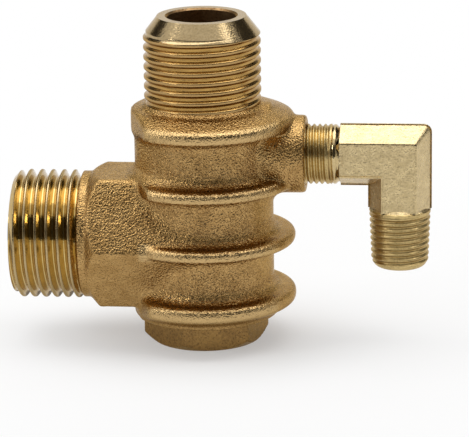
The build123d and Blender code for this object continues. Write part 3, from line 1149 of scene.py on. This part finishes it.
@dataclass
class Studio:
    """A pale floor, a white surround, screens and cards for the brass to mirror, lamps and the camera."""

    floor_tone: Colour = (0.9, 0.9, 0.9)
    floor_rings: Tuple[float, ...] = (0.0, 40.0, 120.0, 400.0, 1500.0, 4000.0)
    floor_columns: int = 64
    floor_level: float = -0.02      # just under the plug's resting face
    glow: Tuple[float, float, float] = (0.4, 0.3, 0.3)  # white under the valve, and what each step adds
    near_step: Span = (10.0, 35.0)  # radius over which the floor's first step goes out
    far_step: Span = (30.0, 130.0)
    screen_tone: Colour = (0.08, 0.074, 0.067)
    screen_range: float = 900.0
    screen_grid: Tuple[int, int] = (13, 25)
    card_tone: Colour = (0.25, 0.235, 0.22)
    card_level: float = 0.02
    white: Colour = (1.0, 1.0, 1.0)
    daylight: float = 0.85          # the surround's light on dull surfaces
    lamp_aim: Place = (0.0, 0.0, 25.0)
    overhead: float = 0.9           # rise of a lamp's direction past which it hangs overhead
    azimuth: float = 6.5
    elevation: float = 16.0
    distance: float = 500.0
    roll: float = -1.0
    pixels_per_mm: float = 6.13     # at the aim point
    aim: Place = (0.0, 0.0, 17.0)
    aim_pixel: Span = (205.2, 235.0)
    image: Tuple[int, int] = (469, 437)
    sensor: float = 36.0
    near_clip: float = 10.0

    def floor(self) -> bpy.types.Object:
        """The floor: a disc that keeps the valve's shadow and goes to white further out.

        Returns:
            The floor.
        """
        radius = np.array(self.floor_rings)[:, None]
        angle = round_angles(self.floor_columns)
        points = about(Axis.UP, (0.0, 0.0, self.floor_level), 0.0 * radius, radius, angle)
        made = mesh_from("floor", points, grid_faces(*points.shape[:2], close_rows=False).tolist())
        material, graph = new_material("pale_floor")
        out = graph.vector("LENGTH", graph.place())
        under, near, far = self.glow
        glow = under + near * out.past(self.near_step) + far * out.past(self.far_step)
        board = graph.node("ShaderNodeBsdfDiffuse", {}, {"Color": (*self.floor_tone, 1.0)})
        shine = graph.node("ShaderNodeEmission", {}, {"Color": (*self.white, 1.0), "Strength": 1.0})
        graph.output(graph.node("ShaderNodeMixShader", {}, {0: glow * graph.shown(), 1: board, 2: shine}))
        dress(made, material)
        return made

    def surround(self) -> None:
        """The surround: white wherever it shows, a little dimmer as light."""
        world = bpy.data.worlds.new("surround")
        bpy.context.scene.world = world
        world.use_nodes = True
        graph = Graph(world.node_tree)
        strength = self.daylight + (1.0 - self.daylight) * graph.shown()
        inputs = {"Color": (*self.white, 1.0), "Strength": strength}
        graph.output(graph.node("ShaderNodeBackground", {}, inputs), "World")

    def cloth(self, name: str, tone: Colour) -> bpy.types.Material:
        """A dull cloth for a screen or a card, in one tone."""
        material, graph = new_material(name)
        graph.output(graph.node("ShaderNodeBsdfDiffuse", {}, {"Color": (*tone, 1.0)}))
        return material

    def screen(self, name: str, azimuth: Span, elevation: Span) -> None:
        """A dark screen that the brass mirrors: a patch of a ball about the valve, out of sight.

        Azimuth turns from the side of -Y towards +X, and elevation rises from the floor.

        Args:
            name: the screen's name.
            azimuth: first and last azimuth in degrees.
            elevation: first and last elevation in degrees.
        """
        rows, columns = self.screen_grid
        turn = np.radians(np.linspace(*azimuth, columns))[None, :]
        rise = np.radians(np.linspace(*elevation, rows))[:, None]
        points = self.screen_range * np.stack(
            [np.cos(rise) * np.sin(turn), -np.cos(rise) * np.cos(turn), np.sin(rise) + 0 * turn], axis=-1
        )
        faces = grid_faces(rows, columns, close_rows=False).reshape(-1, columns, 4)[:, :-1]
        made = mesh_from(name, points, faces.reshape(-1, 4).tolist())
        dress(made, self.cloth(name, self.screen_tone))
        made.visible_camera = False

    def card(self, name: str, across: Span, deep: Span) -> None:
        """A grey card on the floor, that only the brass mirrors.

        Args:
            name: the card's name.
            across: its first and last x.
            deep: its first and last y.
        """
        points = np.array([[x, y, self.card_level] for y in deep for x in across])
        made = mesh_from(name, points, [(0, 1, 3, 2)])
        dress(made, self.cloth(name, self.card_tone))
        made.visible_camera = made.visible_diffuse = made.visible_shadow = False

    def lamp(self, name: str, place: Place, size: Span, radiance: float) -> None:
        """A soft rectangular lamp turned to the valve.

        Args:
            name: the lamp's name.
            place: its middle, in millimetres.
            size: its width and height, in millimetres.
            radiance: brightness of its face, where 1 shows as white.
        """
        light = bpy.data.lights.new(name, "AREA")
        light.shape = "RECTANGLE"
        light.size = size[0] * MM
        light.size_y = size[1] * MM
        light.energy = radiance * np.pi * size[0] * size[1] * MM * MM
        made = bpy.data.objects.new(name, light)
        back = np.array(place) - np.array(self.lamp_aim)
        back /= np.linalg.norm(back)
        side = np.cross([0.0, 1.0, 0.0] if abs(back[2]) > self.overhead else [0.0, 0.0, 1.0], back)
        side /= np.linalg.norm(side)
        made.matrix_world = pose(side, np.cross(back, side), back, np.array(place))
        bpy.context.scene.collection.objects.link(made)

    def camera(self) -> None:
        """The camera, aimed so that the aim point falls on its pixel."""
        azimuth, elevation, roll = np.radians([self.azimuth, self.elevation, self.roll])
        back = np.array([
            np.sin(azimuth) * np.cos(elevation), -np.cos(azimuth) * np.cos(elevation), np.sin(elevation)
        ])
        right = np.array([np.cos(azimuth), np.sin(azimuth), 0.0])
        up = np.cross(back, right)
        right, up = right * np.cos(roll) + up * np.sin(roll), up * np.cos(roll) - right * np.sin(roll)
        place = np.array(self.aim) + self.distance * back
        offset = np.array([self.image[0] / 2 - self.aim_pixel[0], self.aim_pixel[1] - self.image[1] / 2])
        offset /= self.pixels_per_mm
        centre = np.array(self.aim) + offset[0] * right + offset[1] * up
        back = place - centre
        back /= np.linalg.norm(back)
        right -= back * (right @ back)
        right /= np.linalg.norm(right)
        data = bpy.data.cameras.new("camera")
        data.sensor_width = self.sensor
        data.lens = self.pixels_per_mm * self.distance / self.image[0] * self.sensor
        data.clip_start = self.near_clip * MM
        made = bpy.data.objects.new("camera", data)
        made.matrix_world = pose(right, np.cross(back, right), back, place)
        bpy.context.scene.collection.objects.link(made)
        bpy.context.scene.camera = made

    def build(self) -> None:
        """Set up the studio."""
        self.floor()
        self.surround()
        self.screen("front_screen", (-72.0, 100.0), (1.0, 49.0))
        self.screen("left_screen", (-160.0, -105.0), (20.0, 48.0))
        self.screen("right_screen", (105.0, 160.0), (20.0, 54.0))
        self.card("left_card", (-112.0, -58.0), (-60.0, 100.0))
        self.card("back_card", (-58.0, -14.0), (10.0, 100.0))
        self.lamp("top_softbox", (0.0, 60.0, 440.0), (700.0, 300.0), 2.05)
        self.lamp("left_softbox", (-430.0, -250.0, 310.0), (120.0, 95.0), 11.5)
        self.lamp("right_fill", (480.0, -120.0, 200.0), (200.0, 300.0), 0.3)
        self.camera()
        bpy.context.scene.view_settings.view_transform = "Standard"


def pose(right: np.ndarray, up: np.ndarray, back: np.ndarray, place: np.ndarray) -> Matrix:
    """A matrix from an object's three directions and its place in millimetres."""
    matrix = np.eye(4)
    matrix[:3, :3] = np.stack([right, up, back], axis=1)
    matrix[:3, 3] = place * MM
    return Matrix(matrix.tolist())


# Finishes and the whole valve

FORGED = Metal(
    "forged_brass", bright=(0.54, 0.34, 0.13), dull=(0.35, 0.2, 0.065), roughness=0.22, spread=0.06,
    cloud=2.6, grain=0.23, relief=0.125, pits=0.4, coat=0.1, lumps=0.06, blast=0.08,
    # the rib rims' paler tone: partly bare metal from handling, partly a painted highlight
    wear_and_sheen_mask=RibWearAndSheen(), wear_and_sheen_tone=(0.56, 0.38, 0.17), polish=-0.01,
)
TANK_TURNED = Metal(
    "tank_thread_brass", bright=(0.61, 0.435, 0.145), dull=(0.48, 0.325, 0.085), roughness=0.15,
    spread=0.05, cloud=2.0, grain=0.2, relief=0.012, coat=1.0, lumps=0.03, lay=Axis.LEFT,
    edge=(0.6, 0.48, 0.3), film=1.6,
    # the crests' greyer tone: partly scuffing, partly a painted reflection
    wear_and_sheen_mask=CrestWearAndSheen(Axis.LEFT, (10.1, 10.45), level=17.0), wear_and_sheen_tone=(0.46, 0.345, 0.175), polish=-0.12,
)
INLET_TURNED = Metal(
    "inlet_thread_brass", bright=(0.475, 0.278, 0.065), dull=(0.355, 0.195, 0.038), roughness=0.22,
    spread=0.08, cloud=2.0, grain=0.25, relief=0.03, pits=0.1, coat=0.6, lumps=0.035, lay=Axis.UP,
    # the crests' greyer tone: partly scuffing, partly a painted reflection
    wear_and_sheen_mask=CrestWearAndSheen(Axis.UP, (9.28, 9.42)), wear_and_sheen_tone=(0.425, 0.27, 0.105), polish=0.0,
)
NOSE = Metal(
    "nose_brass", bright=(0.45, 0.335, 0.172), dull=(0.33, 0.235, 0.108), roughness=0.15, spread=0.06,
    cloud=6.0, grain=0.3, relief=0.02, pits=0.1, coat=0.6, lumps=0.025,
)
BORED = Metal(
    "bored_brass", bright=(0.34, 0.21, 0.1), dull=(0.24, 0.14, 0.06), roughness=0.4, spread=0.1,
    cloud=2.0, grain=0.4, relief=0.03, pits=0.3,
)
PLUG = Metal(
    "plug_brass", bright=(0.32, 0.185, 0.055), dull=(0.2, 0.11, 0.035), roughness=0.26, spread=0.08,
    cloud=3.0, grain=0.3, relief=0.06, pits=0.3, coat=0.2,
)
ELBOW = Metal(
    "elbow_brass", bright=(0.69, 0.54, 0.28), dull=(0.52, 0.39, 0.18), roughness=0.3, spread=0.08,
    cloud=1.4, grain=0.3, relief=0.06, pits=0.2, coat=1.0, lumps=0.08,
)
ELBOW_THREAD = Metal(
    "elbow_thread_brass", bright=(0.61, 0.455, 0.195), dull=(0.47, 0.335, 0.125), roughness=0.32,
    spread=0.08, cloud=1.6, grain=0.3, relief=0.03, pits=0.2, coat=0.5,
)
ELBOW_COLLAR = Metal(
    "elbow_collar_brass", bright=(0.6, 0.46, 0.22), dull=(0.5, 0.36, 0.15), roughness=0.16, spread=0.08,
    cloud=1.6, grain=0.3, relief=0.02, pits=0.1, coat=1.0,
)
TURNED = Metal(
    "turned_brass", bright=(0.82, 0.62, 0.28), dull=(0.7, 0.5, 0.2), roughness=0.24, spread=0.06,
    cloud=2.0, grain=0.25, relief=0.006,
)
STEEL = Metal(
    "spring_steel", bright=(0.62, 0.62, 0.62), dull=(0.45, 0.45, 0.46), roughness=0.28, spread=0.08,
    cloud=1.2, grain=0.2, relief=0.004,
)
RUBBER = Rubber("seal_rubber", tone=(0.018, 0.018, 0.02), bloom=(0.05, 0.05, 0.052))


def dress_packed_pieces() -> List[str]:
    """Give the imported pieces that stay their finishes.

    Returns:
        The names of those pieces.
    """
    finishes = {"valve_poppet": TURNED, "seat_facing": RUBBER, "plug_o_ring": RUBBER}
    made = {finish: finish.material() for finish in dict.fromkeys(finishes.values())}
    for node, finish in finishes.items():
        dress(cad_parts[node], made[finish])
    return list(finishes)


def main() -> None:
    logging.basicConfig(level=logging.INFO, format="%(name)s: %(message)s")
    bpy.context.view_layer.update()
    pieces = [
        ForgedBody(FORGED, TANK_TURNED, INLET_TURNED, NOSE, BORED),
        ScrewedElbow(ELBOW, ELBOW_THREAD, ELBOW_COLLAR),
        BottomPlug(PLUG),
        WoundSpring(STEEL),
    ]
    for piece in pieces:
        made = piece.build()
        triangles = sum(len(face.vertices) - 2 for face in made.data.polygons)
        LOG.info("%s: %d triangles", made.name, triangles)
    LOG.info("dressed: %s", ", ".join(dress_packed_pieces()))
    Studio().build()


if __name__ == "__main__":
    main()
